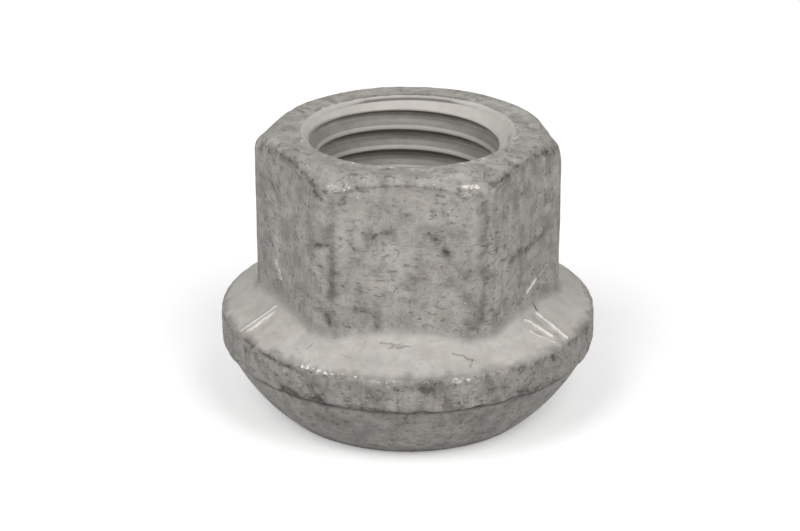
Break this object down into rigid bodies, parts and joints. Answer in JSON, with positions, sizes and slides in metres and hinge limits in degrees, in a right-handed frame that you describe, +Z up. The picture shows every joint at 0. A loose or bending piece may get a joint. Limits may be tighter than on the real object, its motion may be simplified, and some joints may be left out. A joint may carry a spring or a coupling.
{
  "type": "lug nut",
  "caption": "One-piece hexagon wheel nut with a round flange, a conical shoulder, a ball seat on its underside and a countersunk threaded through bore.",
  "frame": {"origin": "centre of the flat foot ring at the end of the ball seat, on the thread's axis", "axes": "+Z up the thread's axis towards the hexagon's end; +Y and -Y square to two of the hexagon's flats"},
  "size_m": [0.026, 0.026, 0.02],
  "materials": {
    "coated_steel": "dull grey zinc flake coating over forged steel, mottled, with small bright nicks"
  },
  "bodies": {
    "root": {"lug_nut": "coated_steel"}
  },
  "joints": []
}
